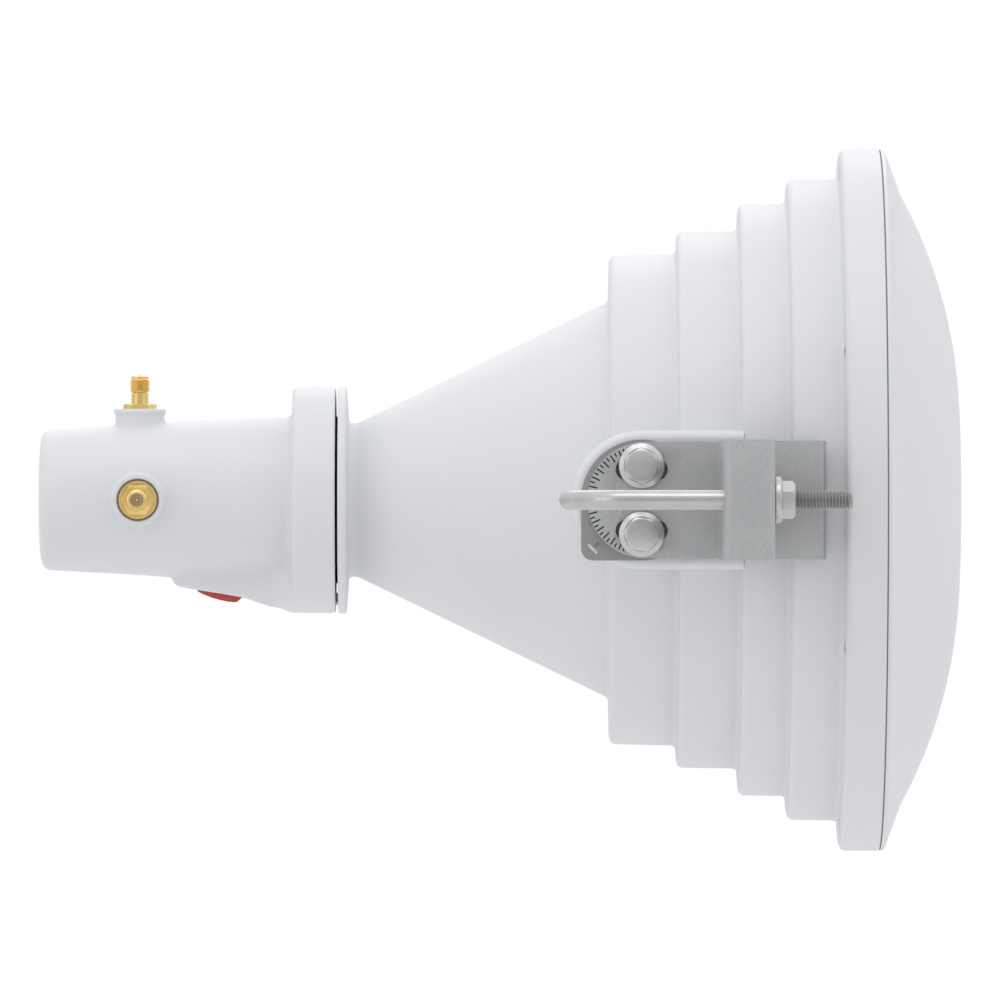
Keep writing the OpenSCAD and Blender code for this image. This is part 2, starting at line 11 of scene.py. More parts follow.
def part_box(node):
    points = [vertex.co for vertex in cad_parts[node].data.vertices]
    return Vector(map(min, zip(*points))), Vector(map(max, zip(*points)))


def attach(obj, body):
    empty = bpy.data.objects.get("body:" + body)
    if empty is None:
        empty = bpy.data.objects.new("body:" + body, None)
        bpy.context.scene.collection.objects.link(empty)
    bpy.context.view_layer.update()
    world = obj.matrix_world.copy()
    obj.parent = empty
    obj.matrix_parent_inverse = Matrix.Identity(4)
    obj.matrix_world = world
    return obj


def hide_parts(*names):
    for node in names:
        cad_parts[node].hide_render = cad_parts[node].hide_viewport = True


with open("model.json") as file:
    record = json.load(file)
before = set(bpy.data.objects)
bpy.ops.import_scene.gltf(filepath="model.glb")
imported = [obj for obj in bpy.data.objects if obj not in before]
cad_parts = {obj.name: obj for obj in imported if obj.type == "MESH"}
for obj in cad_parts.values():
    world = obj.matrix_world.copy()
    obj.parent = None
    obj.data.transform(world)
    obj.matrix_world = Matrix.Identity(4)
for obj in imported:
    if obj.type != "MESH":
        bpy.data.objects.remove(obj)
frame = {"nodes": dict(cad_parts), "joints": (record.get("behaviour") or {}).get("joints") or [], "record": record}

random.seed(7)
RNG = np.random.default_rng(7)
MM = 0.001
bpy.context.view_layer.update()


def datum(node):
    lo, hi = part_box(node)
    return np.array(lo) / MM, np.array(hi) / MM


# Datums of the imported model, in millimetres
H_LO, H_HI = datum("horn_casting")
R_LO, R_HI = datum("radome")
A_LO, A_HI = datum("adaptor_housing")
B_LO, B_HI = datum("bracket_plate")
U_LO, U_HI = datum("u_bolt")
N_LO, N_HI = datum("clamp_nuts")
T_LO, T_HI = datum("tilt_bolts")
P_LO, P_HI = datum("pointer_plate")
L_LO, L_HI = datum("latch_lever")
ST_LO, ST_HI = datum("sma_shell_top")
SF_LO, SF_HI = datum("sma_shell_front")
AY = (R_LO[1] + R_HI[1]) / 2          # the horn's axis
AZ = (R_LO[2] + R_HI[2]) / 2
XSEAM = H_HI[0]                       # the flange's face, 75.2 in the part
FR = (H_HI[2] - H_LO[2]) / 2          # radius of the flange, with its draft
DX = XSEAM - 75.2                     # how far the part's x datum has moved
DAX = A_LO[0] + 188.0                 # the adaptor's
CR = (A_HI[2] - A_LO[2]) / 2          # collar radius
SMA_X = (ST_LO[0] + ST_HI[0]) / 2
PX, PZ = 0.0, 0.0                     # the tilt pivot, the pole's axis
for j in frame["joints"]:
    if j["name"] == "elevation_tilt":
        PX, PZ = j["pos_m"][0] / MM, j["pos_m"][2] / MM

# --- camera, first ----------------------------------------------------------

cam_data = bpy.data.cameras.new("camera")
camera = bpy.data.objects.new("camera", cam_data)
bpy.context.scene.collection.objects.link(camera)
camera.location = Vector((-43.5, -4270.7, 0.0)) * MM
camera.rotation_euler = (math.radians(90), 0, 0)
cam_data.sensor_width = 36.0
cam_data.lens = 505.66
cam_data.clip_start = 0.1
cam_data.clip_end = 60.0
bpy.context.scene.camera = camera
bpy.context.scene.view_settings.view_transform = "Standard"
bpy.context.scene.view_settings.look = "None"

# --- mesh helpers -----------------------------------------------------------


def add(name, verts, faces, smooth=30.0):
    """A mesh object from millimetre points."""
    me = bpy.data.meshes.new(name)
    me.from_pydata([tuple(float(c) * MM for c in v) for v in verts], [], [list(map(int, f)) for f in faces])
    me.validate()
    ob = bpy.data.objects.new(name, me)
    bpy.context.scene.collection.objects.link(ob)
    tidy(ob, smooth)
    return ob


def tidy(ob, smooth=30.0, merge=1e-7):
    bm = bmesh.new()
    bm.from_mesh(ob.data)
    if merge:
        bmesh.ops.remove_doubles(bm, verts=bm.verts, dist=merge)
    bmesh.ops.recalc_face_normals(bm, faces=bm.faces)
    bm.to_mesh(ob.data)
    bm.free()
    shade(ob, smooth)
    return ob


def shade(ob, smooth=30.0):
    ob.data.shade_smooth()
    if smooth is not None:
        ob.data.set_sharp_from_angle(angle=math.radians(smooth))


def bake_modifiers(ob):
    dg = bpy.context.evaluated_depsgraph_get()
    me = bpy.data.meshes.new_from_object(ob.evaluated_get(dg))
    old = ob.data
    ob.modifiers.clear()
    ob.data = me
    bpy.data.meshes.remove(old)
    return ob


def boolean(a, b, op="DIFFERENCE", smooth=30.0, keep_b=False):
    m = a.modifiers.new("cut", "BOOLEAN")
    m.object, m.operation, m.solver = b, op, "MANIFOLD"
    bake_modifiers(a)
    if not keep_b:
        drop(b)
    shade(a, smooth)
    return a


def drop(ob):
    me = ob.data
    bpy.data.objects.remove(ob)
    if me.users == 0:
        bpy.data.meshes.remove(me)


def bevel(ob, width, segments=2, angle=35.0, smooth=30.0):
    m = ob.modifiers.new("edge", "BEVEL")
    m.width, m.segments, m.limit_method, m.angle_limit = width * MM, segments, "ANGLE", math.radians(angle)
    m.harden_normals = False
    m.use_clamp_overlap = True
    bake_modifiers(ob)
    shade(ob, smooth)
    return ob


def voxel(ob, size, smooth_steps=0, factor=0.5):
    m = ob.modifiers.new("remesh", "REMESH")
    m.mode, m.voxel_size, m.adaptivity = "VOXEL", size * MM, 0.0
    if smooth_steps:
        s = ob.modifiers.new("smooth", "SMOOTH")
        s.factor, s.iterations = factor, smooth_steps
    bake_modifiers(ob)
    shade(ob, None)
    return ob


def fillet(points, n=8, support=0.25):
    """Rounds the corners of a closed outline of (a, b, radius) points. Each rounded corner gets a supporting point at either end, so that shading stays flat on the straights."""
    out, count = [], len(points)
    for i, (x, y, r) in enumerate(points):
        p = np.array([x, y], float)
        a = np.array(points[i - 1][:2], float) - p
        c = np.array(points[(i + 1) % count][:2], float) - p
        la, lc = np.linalg.norm(a), np.linalg.norm(c)
        u, v = a / la, c / lc
        ang = math.acos(max(-1, min(1, float(u @ v))))
        if r <= 0 or ang > math.radians(178.5):
            out.append(p)
            continue
        t = min(r / math.tan(ang / 2), 0.49 * la, 0.49 * lc)
        r = t * math.tan(ang / 2)
        m = (u + v) / np.linalg.norm(u + v)
        o = p + m * r / math.sin(ang / 2)
        s, e = p + u * t, p + v * t
        a1, a2 = math.atan2(*(s - o)[::-1]), math.atan2(*(e - o)[::-1])
        d = (a2 - a1 + 3 * math.pi) % (2 * math.pi) - math.pi
        if support and t + support < 0.49 * la:
            out.append(p + u * (t + support))
        for k in range(n + 1):
            q = a1 + d * k / n
            out.append(o + r * np.array([math.cos(q), math.sin(q)]))
        if support and t + support < 0.49 * lc:
            out.append(p + v * (t + support))
    return out


def spline(points, n=6):
    """Catmull-Rom through points."""
    P = [np.array(p, float) for p in points]
    P = [2 * P[0] - P[1]] + P + [2 * P[-1] - P[-2]]
    out = []
    for i in range(1, len(P) - 2):
        p0, p1, p2, p3 = P[i - 1], P[i], P[i + 1], P[i + 2]
        for k in range(n):
            t = k / n
            out.append(0.5 * (2 * p1 + (p2 - p0) * t + (2 * p0 - 5 * p1 + 4 * p2 - p3) * t * t
                              + (3 * p1 - p0 - 3 * p2 + p3) * t ** 3))
    out.append(P[-2])
    return out


def lathe(name, profile, segs=192, smooth=30.0, frame_of=None, arc=None):
    """Turns (along, radius) points round an axis: X at (AY, AZ), or the frame_of function's."""
    place = frame_of or (lambda a, r, q: (a, AY + r * math.cos(q), AZ + r * math.sin(q)))
    verts, rows = [], []
    for a, r in profile:
        if r < 1e-6:
            rows.append([len(verts)] * segs)
            verts.append(place(a, 0.0, 0.0))
        else:
            rows.append(list(range(len(verts), len(verts) + segs)))
            verts += [place(a, r, 2 * math.pi * k / segs) for k in range(segs)]
    faces = []
    n = len(rows)
    closed = profile[0][1] > 1e-6 or profile[-1][1] > 1e-6
    for i in range(n if closed else n - 1):
        p, q = rows[i], rows[(i + 1) % n]
        for k in range(segs):
            l = (k + 1) % segs
            f = [p[k], p[l], q[l], q[k]]
            f = [x for x in dict.fromkeys(f)]
            if len(f) > 2:
                faces.append(f)
    return add(name, verts, faces, smooth)


def axis_z(cx, cy, cz):
    """Places a lathe along +Z from (cx, cy, cz)."""
    return lambda a, r, q: (cx + r * math.cos(q), cy + r * math.sin(q), cz + a)


def axis_my(cx, cy, cz):
    """Places a lathe along -Y from (cx, cy, cz)."""
    return lambda a, r, q: (cx + r * math.cos(q), cy - a, cz + r * math.sin(q))


def axis_x(cx, cy, cz):
    return lambda a, r, q: (cx + a, cy + r * math.cos(q), cz + r * math.sin(q))


def prism(name, outline, lo, hi, place, smooth=30.0):
    """Extrudes a closed 2-D outline from lo to hi; place(u, v, w) gives the point."""
    n = len(outline)
    verts = [place(p[0], p[1], lo) for p in outline] + [place(p[0], p[1], hi) for p in outline]
    faces = [list(range(n))[::-1], list(range(n, 2 * n))]
    faces += [[i, (i + 1) % n, n + (i + 1) % n, n + i] for i in range(n)]
    return add(name, verts, faces, smooth)


def loft(name, loops, smooth=30.0, cap=True):
    """Joins loops of equal count, capped at both ends."""
    n = len(loops[0])
    verts = [p for l in loops for p in l]
    faces = []
    for i in range(len(loops) - 1):
        for k in range(n):
            l = (k + 1) % n
            faces.append([i * n + k, i * n + l, (i + 1) * n + l, (i + 1) * n + k])
    if cap:
        faces.append(list(range(n))[::-1])
        faces.append(list(range((len(loops) - 1) * n, len(loops) * n)))
    return add(name, verts, faces, smooth)


def box_piece(name, lo, hi):
    (x0, y0, z0), (x1, y1, z1) = lo, hi
    return prism(name, [(x0, y0), (x1, y0), (x1, y1), (x0, y1)], z0, z1, lambda u, v, w: (u, v, w))


def joined(name, obs, smooth=30.0):
    """Several separate bodies kept in one object."""
    bm = bmesh.new()
    for o in obs:
        bm.from_mesh(o.data)
    me = bpy.data.meshes.new(name)
    bm.to_mesh(me)
    bm.free()
    for o in obs:
        drop(o)
    ob = bpy.data.objects.new(name, me)
    bpy.context.scene.collection.objects.link(ob)
    shade(ob, smooth)
    return ob


def turn_about(ob, angle, centre, axis="X"):
    """Turns a mesh's own points about an axis through a point in mm."""
    c = Vector(centre) * MM
    ob.data.transform(Matrix.Translation(c) @ Matrix.Rotation(angle, 4, axis) @ Matrix.Translation(-c))
    return ob


def thread(name, place, z0, z1, major, minor, pitch, segs=48, ns=10, flat=0.14, run=0.6, inner=None):
    """A closed threaded rod; the inner argument is not used. Its ridge is one true helix."""
    def rad(z, q):
        t = (z / pitch - q / (2 * math.pi)) % 1.0
        d = abs(t - 0.5) * 2                      # 0 at the crest, 1 at the root
        h = 1 - min(1, max(0, (d - flat) / (1 - 2 * flat)))
        ends = min(1.0, max(0.0, min(z - z0, z1 - z) / (run * pitch)))
        return minor + (major - minor) * h * ends
    rows = int(math.ceil((z1 - z0) / pitch * ns)) + ns
    verts, faces = [], []
    for i in range(segs + 1):
        q = 2 * math.pi * i / segs
        for k in range(rows + 1):
            z = z0 + (k / ns - 1 + i / segs) * pitch
            z = min(max(z, z0), z1)
            verts.append(place(z, rad(z, q), q))
    for i in range(segs):
        for k in range(rows):
            a = i * (rows + 1) + k
            b = a + rows + 1
            faces.append([a, a + 1, b + 1, b])
    base = len(verts)
    verts += [place(z0, 0, 0), place(z1, 0, 0)]
    for i in range(segs):
        a = i * (rows + 1)
        b = a + rows + 1
        faces.append([base, a, b])
        faces.append([base + 1, b + rows, a + rows])
    me = bpy.data.meshes.new(name)
    me.from_pydata([tuple(float(c) * MM for c in v) for v in verts], [], faces)
    ob = bpy.data.objects.new(name, me)
    bpy.context.scene.collection.objects.link(ob)
    bm = bmesh.new()
    bm.from_mesh(me)
    bmesh.ops.remove_doubles(bm, verts=bm.verts, dist=2e-6)
    bmesh.ops.dissolve_degenerate(bm, edges=bm.edges, dist=1e-7)
    bmesh.ops.recalc_face_normals(bm, faces=bm.faces)
    bm.to_mesh(me)
    bm.free()
    shade(ob, 50)
    return ob


# --- materials ---------------------------------------------------------------


class Mat:
    """A Principled material with its nodes close at hand."""

    def __init__(self, name, color, rough, metallic=0.0, **sockets):
        self.m = bpy.data.materials.new(name)
        self.m.use_nodes = True
        self.t = self.m.node_tree
        self.b = self.t.nodes["Principled BSDF"]
        self.b.inputs["Base Color"].default_value = (*color, 1)
        self.b.inputs["Roughness"].default_value = rough
        self.b.inputs["Metallic"].default_value = metallic
        for k, v in sockets.items():
            self.b.inputs[k.replace("_", " ")].default_value = v
        self.coords = self.t.nodes.new("ShaderNodeTexCoord").outputs["Object"]
        self.color = color

    def node(self, kind, **props):
        n = self.t.nodes.new(kind)
        for k, v in props.items():
            setattr(n, k, v)
        return n

    def link(self, a, b):
        self.t.links.new(a, b)

    def mapped(self, scale=(1, 1, 1), rot=(0, 0, 0)):
        n = self.node("ShaderNodeMapping")
        n.inputs["Scale"].default_value = scale
        n.inputs["Rotation"].default_value = rot
        self.link(self.coords, n.inputs["Vector"])
        return n.outputs["Vector"]

    def noise(self, scale, detail=2.0, rough=0.5, vector=None, distortion=0.0):
        n = self.node("ShaderNodeTexNoise")
        n.inputs["Scale"].default_value = scale
        n.inputs["Detail"].default_value = detail
        n.inputs["Roughness"].default_value = rough
        n.inputs["Distortion"].default_value = distortion
        self.link(vector or self.coords, n.inputs["Vector"])
        return n.outputs["Fac"]

    def cells(self, scale, feature="F1", vector=None, output="Color"):
        n = self.node("ShaderNodeTexVoronoi", feature=feature)
        n.inputs["Scale"].default_value = scale
        self.link(vector or self.coords, n.inputs["Vector"])
        return n.outputs[output]

    def ramp(self, fac, stops):
        n = self.node("ShaderNodeValToRGB")
        e = n.color_ramp.elements
        while len(e) < len(stops):
            e.new(0.5)
        for el, (pos, col) in zip(e, stops):
            el.position = pos
            el.color = (*col, 1) if len(col) == 3 else col
        self.link(fac, n.inputs["Fac"])
        return n.outputs["Color"]

    def rangeto(self, fac, lo, hi, f0=0.0, f1=1.0):
        n = self.node("ShaderNodeMapRange")
        n.inputs["From Min"].default_value = f0
        n.inputs["From Max"].default_value = f1
        n.inputs["To Min"].default_value = lo
        n.inputs["To Max"].default_value = hi
        self.link(fac, n.inputs["Value"])
        return n.outputs["Result"]

    def mix(self, fac, a, b, blend="MIX"):
        n = self.node("ShaderNodeMix", data_type="RGBA", blend_type=blend)
        if isinstance(fac, (int, float)):
            n.inputs["Factor"].default_value = fac
        else:
            self.link(fac, n.inputs["Factor"])
        for key, v in (("A", a), ("B", b)):
            s = [i for i in n.inputs if i.name == key and i.type == "RGBA"][0]
            if isinstance(v, tuple):
                s.default_value = (*v, 1)
            else:
                self.link(v, s)
        return [o for o in n.outputs if o.type == "RGBA"][0]

    def math(self, op, a, b=0.0, c=0.0):
        n = self.node("ShaderNodeMath", operation=op)
        for i, v in enumerate((a, b, c)):
            if isinstance(v, (int, float)):
                n.inputs[i].default_value = v
            else:
                self.link(v, n.inputs[i])
        return n.outputs[0]

    def bump(self, height, strength, distance=0.00005, normal=None):
        n = self.node("ShaderNodeBump")
        n.inputs["Strength"].default_value = strength
        n.inputs["Distance"].default_value = distance
        self.link(height, n.inputs["Height"])
        if normal:
            self.link(normal, n.inputs["Normal"])
        return n.outputs["Normal"]

    def set(self, **links):
        for k, v in links.items():
            self.link(v, self.b.inputs[k.replace("_", " ")])
        return self.m


def scaled(c, k):
    return tuple(min(1.0, x * k) for x in c)


def white_finish(name, color, rough, grain=1600.0, grain_strength=0.25, vary=0.02, coat=0.0):
    m = Mat(name, color, rough, Specular_IOR_Level=0.35)
    big = m.noise(9.0, 3.0, 0.55)
    fine = m.noise(420.0, 2.0, 0.5)
    tone = m.mix(m.rangeto(big, 0.0, 1.0, 0.3, 0.7), scaled(color, 1 - vary), scaled(color, 1 + vary))
    tone = m.mix(m.rangeto(fine, 0.0, 0.22, 0.35, 0.75), tone, scaled(color, 0.965))
    speck = m.cells(grain, "F1", output="Distance")
    grain_n = m.noise(grain, 2.0, 0.6)
    n1 = m.bump(grain_n, grain_strength, 0.00004)
    n2 = m.bump(m.noise(60.0, 2.0, 0.5), 0.06, 0.0002, n1)
    m.set(Base_Color=tone, Normal=n2, Roughness=m.rangeto(speck, rough - 0.05, rough + 0.08, 0.0, 0.8))
    return m.m


WHITE = white_finish("white_powder_coat", (0.74, 0.75, 0.775), 0.42, 1500.0, 0.22)
DOME = white_finish("white_radome", (0.74, 0.75, 0.775), 0.38, 2600.0, 0.12)
HOUSING = white_finish("white_housing", (0.74, 0.75, 0.775), 0.40, 2200.0, 0.15)


def galvanised():
    m = Mat("galvanised_sheet", (0.46, 0.475, 0.485), 0.5, 0.55, Specular_IOR_Level=0.5)
    spangle = m.cells(3200.0, "F1", vector=m.mapped((1, 1, 1)))
    sep = m.node("ShaderNodeSeparateColor")
    m.link(spangle, sep.inputs["Color"])
    s = sep.outputs[0]
    fine = m.noise(2600.0, 2.0, 0.6)
    cloud = m.noise(70.0, 3.0, 0.6)
    mixv = m.math("ADD", m.math("MULTIPLY", s, 0.55), m.math("MULTIPLY", fine, 0.45))
    col = m.ramp(mixv, [(0.12, (0.41, 0.420, 0.428)), (0.5, (0.47, 0.481, 0.489)), (0.88, (0.54, 0.551, 0.558))])
    col = m.mix(m.rangeto(cloud, 0.0, 0.35, 0.35, 0.7), col, (0.39, 0.403, 0.413))
    n = m.bump(fine, 0.35, 0.00004)
    n = m.bump(s, 0.25, 0.00005, n)
    m.set(Base_Color=col, Normal=n, Roughness=m.rangeto(mixv, 0.42, 0.62))
    return m.m


def steel(name, color, rough, stretch=(1, 1, 1), scratch=0.10, metallic=1.0):
    m = Mat(name, color, rough, metallic)
    streak = m.noise(900.0, 3.0, 0.6, vector=m.mapped(stretch))
    cloud = m.noise(90.0, 2.0, 0.5)
    col = m.mix(m.rangeto(cloud, 0.0, 1.0, 0.3, 0.7), scaled(color, 0.95), scaled(color, 1.05))
    col = m.mix(m.rangeto(streak, 0.0, 0.25, 0.4, 0.8), col, scaled(color, 0.82))
    n = m.bump(streak, scratch, 0.00003)
    m.set(Base_Color=col, Normal=n, Roughness=m.rangeto(streak, rough - 0.07, rough + 0.09, 0.25, 0.75))
    return m.m


def rubber(name, color):
    m = Mat(name, color, 0.7, Specular_IOR_Level=0.3)
    g = m.noise(1800.0, 3.0, 0.6)
    col = m.mix(m.rangeto(g, 0, 1, 0.3, 0.7), scaled(color, 0.85), scaled(color, 1.2))
    m.set(Base_Color=col, Normal=m.bump(g, 0.25, 0.00005), Roughness=m.rangeto(g, 0.6, 0.8))
    return m.m


def plastic(name, color, rough, vary=0.06, grain=2200.0, strength=0.15):
    m = Mat(name, color, rough, Specular_IOR_Level=0.4)
    big = m.noise(55.0, 3.0, 0.6)
    g = m.noise(grain, 2.0, 0.6)
    col = m.mix(m.rangeto(big, 0, 1, 0.3, 0.7), scaled(color, 1 - vary), scaled(color, 1 + vary))
    col = m.mix(m.rangeto(g, 0, 0.3, 0.4, 0.8), col, scaled(color, 0.9))
    m.set(Base_Color=col, Normal=m.bump(g, strength, 0.00004), Roughness=m.rangeto(g, rough - 0.06, rough + 0.08))
    return m.m


def gold():
    m = Mat("gold_plate", (0.86, 0.62, 0.22), 0.24, 1.0)
    g = m.noise(2400.0, 3.0, 0.6)
    cloud = m.noise(160.0, 2.0, 0.5)
    col = m.mix(m.rangeto(cloud, 0, 1, 0.3, 0.7), (0.80, 0.55, 0.17), (0.93, 0.70, 0.28))
    m.set(Base_Color=col, Normal=m.bump(g, 0.22, 0.00004), Roughness=m.rangeto(g, 0.17, 0.34))
    return m.m


GALV = galvanised()
STEEL = steel("stainless_satin", (0.60, 0.585, 0.575), 0.34)
ROD = steel("stainless_rod", (0.56, 0.545, 0.54), 0.27, stretch=(0.04, 1, 1), scratch=0.12)
# The thread steel's base colour is darker than the rod's: painted shade standing in for the shade in the thread's
# grooves.
THREAD_PAINTED_SHADE = steel("thread_steel_painted_shade", (0.42, 0.405, 0.395), 0.36)
CAST = steel("cast_aluminium", (0.62, 0.62, 0.625), 0.5, scratch=0.3)
GOLD = gold()
BLACK = rubber("black_rubber", (0.025, 0.025, 0.027))
SEAM = rubber("grey_gasket", (0.20, 0.20, 0.21))
GREY = plastic("grey_plate", (0.30, 0.30, 0.30), 0.5)
RED = plastic("red_plastic", (0.52, 0.06, 0.07), 0.38)
PTFE = plastic("ptfe", (0.62, 0.60, 0.59), 0.45)
INK = rubber("scale_ink", (0.012, 0.012, 0.013))


def wear(ob, mat):
    ob.data.materials.clear()
    ob.data.materials.append(mat)
    return ob


def finish_piece(ob, mat, body, slot, *nodes):
    wear(ob, mat)
    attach(ob, body)
    if nodes:
        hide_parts(*nodes)
    return ob


def cad(node, mat):
    o = frame["nodes"][node]
    for i in range(len(o.material_slots)):
        o.material_slots[i].material = mat
    if not o.material_slots:
        o.data.materials.append(mat)


# --- horn --------------------------------------------------------------------

SLOPE = 0.4826
WALL = 2.6
NECK = 24.0
RING = [77.0, 84.2, 92.8, 100.4]
FLANGE = 110.0


def cone_r(x):
    return NECK + 0.1 + SLOPE * (x + 88.3)


outer = [(-102.3, 0, 0), (-102.3, NECK, 0.4), (-94.2, NECK, 0), (-94.2, 35.6, 0.6), (-91.6, 35.6, 1.0),
         (-90.8, NECK + 0.2, 1.2), (-88.3, NECK, 5), (-9.5, cone_r(-9.5), 2.5),
         (-9.3, RING[0] - 0.4, 2.3), (11.5, RING[0] + 0.1, 1.8),
         (11.9, RING[1] - 0.2, 2.1), (30.9, RING[1] + 0.1, 1.8),
         (31.2, RING[2] - 0.1, 2.1), (46.1, RING[2] + 0.1, 1.8),
         (46.4, RING[3] - 0.1, 2.1), (62.2, RING[3] + 0.2, 1.8),
         (62.9, FLANGE, 2.0), (75.2, FLANGE + 0.1, 0.3), (75.2, 0, 0)]
outer = [(x + DX, r, f) for x, r, f in outer]
k = WALL / math.cos(math.atan(SLOPE))
G = 13.2
inner = [(-103.3, 0, 0), (-103.3, 18.5, 0), (-88.3 - (NECK + 0.1 - k - 18.5) / SLOPE, 18.5, 5),
         (6.4, cone_r(6.4) - k, 0.6), (6.4, cone_r(6.4), 0.6),
         (-9.5 + WALL, cone_r(-9.5 + WALL), 1.0), (-9.5 + WALL, RING[0] - WALL, 1.0)]
for i, (x, nx) in enumerate(((11.7, 31.0), (31.0, 46.2), (46.2, None))):
    deep = x + WALL + G
    inner += [(deep, RING[i] - WALL + 0.2, 0.7), (deep, RING[i] - 0.3, 0.7),
              (x + WALL, RING[i] - 0.1, 0.8), (x + WALL, RING[i + 1] - WALL, 0.8)]
inner += [(74.0, RING[3] - WALL + 0.2, 0.7), (74.0, RING[3] - 0.3, 0.7),
          (62.5 + WALL + 0.2, RING[3] - 0.1, 0.8), (62.5 + WALL + 0.2, FLANGE - 2.8, 0.8),
          (76.2, FLANGE - 2.8, 0), (76.2, 0, 0)]
inner = [(x + DX, r, f) for x, r, f in inner]

SEG = 192
horn = lathe("horn", fillet(outer, 7, 0.35), SEG)
# the side boss: a round-ended pad whose rim is rounded
Y_BOSS = P_HI[1]


def pad_loop(r, y, x_end, n=48):
    pts = [(PX + r * math.cos(q), y, PZ + r * math.sin(q))
           for q in np.linspace(math.pi / 2, 3 * math.pi / 2, n)]
    xs = np.linspace(PX, x_end, 16)[1:]
    return pts + [(x, y, PZ - r) for x in xs] + [(x, y, PZ + r) for x in xs[::-1]]


rim = fillet([(0, 0, 0), (21.4, 0, 2.8), (21.4, 52, 0), (0, 52, 0)], 9, 0.3)
loops = [pad_loop(a, Y_BOSS + b, 31.5 + DX) for a, b in rim if a > 0.01]
boss = loft("boss", loops)
boolean(horn, boss, "UNION")
boolean(horn, lathe("hollow", fillet(inner, 4, 0), SEG))
cuts = []
for i in range(7):
    ell = [(60.5, -106.7), (66.5, -106.7), (66.5, -104.3), (64.5, -104.3), (64.5, -101.7), (60.5, -101.7)]
    c = prism("slot", [(x + DX, z) for x, z in ell], -1.8, 1.8, lambda u, v, w: (u, AY + w, AZ + v))
    turn_about(c, math.radians(90 + i * 360 / 7), (0, AY, AZ))
    cuts.append(c)
for s in (-1, 1):
    cuts.append(lathe("tap", [(-1, 0), (-1, 3.05), (11.2, 3.05), (11.2, 0)], 32,
                      frame_of=lambda a, r, q, s=s: (PX + r * math.cos(q), Y_BOSS + a, PZ + s * 10.5 + r * math.sin(q))))
boolean(horn, joined("cuts", cuts))


def ring_block(name, r0, r1, x0, x1, centre, width, n=10):
    """A piece of a ring round the horn's axis; centre is in degrees from -Z towards +Y."""
    qs = [math.radians(centre - width / 2 + width * i / n) for i in range(n + 1)]
    sec = [(x0, r0), (x1, r0), (x1, r1), (x0, r1)]
    return loft(name, [[(x, AY + r * math.sin(q), AZ - r * math.cos(q)) for x, r in sec] for q in qs])


for i, a in enumerate((-60, 60, 180)):
    boolean(horn, ring_block("lug", 23.0, 27.2, -102.3 + DX, -99.8 + DX, a + 22.5, 38), "UNION")
for a in (-10.2, 55.2):
    boolean(horn, ring_block("stop", 30.0, 33.0, -96.8 + DX, -93.7 + DX, a, 8), "UNION")
tidy(horn, 30, 2e-7)
finish_piece(horn, WHITE, "horn", "white_casting", "horn_casting")

# --- radome --------------------------------------------------------------------

T = 2.2
DR, FLAT, CREASE = 148.9, 24.0, 95.7
DC = XSEAM + 25.2 - DR


def dome_x(r, R):
    return DC + math.sqrt(R * R - (r - FLAT) ** 2)


def dome_arc(R, r1, n):
    a1 = math.asin((r1 - FLAT) / R)
    return [(DC + R * math.cos(a1 * i / n), FLAT + R * math.sin(a1 * i / n)) for i in range(n + 1)]


lip, rimx = XSEAM + 0.4, XSEAM + 1.5
cs = (dome_x(CREASE, DR) - rimx) / (FLANGE - CREASE)
ri = CREASE - 0.9
xi = dome_x(ri, DR - T)
inr = FLANGE - 5.0
tail = fillet([(dome_x(CREASE, DR), CREASE, 0), (rimx, FLANGE, 0.6), (lip, FLANGE, 0.15), (lip, FLANGE - 3.1, 0),
               (lip - 3.6, FLANGE - 3.1, 0.2), (lip - 3.6, inr, 0.2), (xi - cs * (inr - ri), inr, 0), (xi, ri, 0)], 4, 0.3)
prof = ([(DC + DR, 0), (DC + DR, 12), (DC + DR, FLAT - 0.5)] + dome_arc(DR, CREASE - 0.6, 48)
        + [tuple(p) for p in tail] + dome_arc(DR - T, ri, 30)[::-1][1:] + [(DC + DR - T, 12), (DC + DR - T, 0)])
radome = lathe("radome_shell", prof, SEG, 20)
for i in range(7):
    ell = [(XSEAM - 12.4, -106.5), (lip - 3.0, -106.5), (lip - 3.0, -104.6), (XSEAM - 11.0, -104.6),
           (XSEAM - 11.0, -103.4), (XSEAM - 11.9, -103.4), (XSEAM - 12.4, -103.9)]
    h = prism("hook", ell, -1.5, 1.5, lambda u, v, w: (u, AY + w, AZ + v))
    turn_about(h, math.radians(90 + i * 360 / 7), (0, AY, AZ))
    boolean(radome, h, "UNION", 20)
finish_piece(radome, DOME, "horn", "white_plastic", "radome")

# --- adaptor housing --------------------------------------------------------------

body_line = [(-188.0, 0), (-187.97, 6.0), (-187.9, 12.1), (-187.7, 16.6), (-187.3, 19.4), (-186.6, 20.9), (-185.6, 21.7),
             (-184.3, 22.05), (-181.5, 22.2), (-166.5, 23.0), (-155.5, 23.6),
             (-143.9, 24.5), (-125.1, 25.4), (-112.0, 25.65)]
body = [tuple(p) for p in spline(body_line, 5)]
body = [(min(max(x, -188.0), -112.0), max(r, 0.0)) for x, r in body]
body[0] = (-188.0, 0.0)
body += [(-110.4, 25.8), (-109.2, 26.4), (-108.7, 27.3), (-108.5, 28.4)]
col = fillet([(-108.5, 28.4, 0), (-108.5, CR - 0.1, 1.8), (-95.0, CR, 0.4), (-95.0, 0, 0), (-108.5, 0, 0)], 7, 0.3)
col = [tuple(p) for p in col]
col = [p for p in col if p[1] > 27.5]
house = lathe("housing", [(x + DAX, r) for x, r in body] + [(x + DAX, r) for x, r in col[1:]] + [(-95.0 + DAX, 0)], 144)

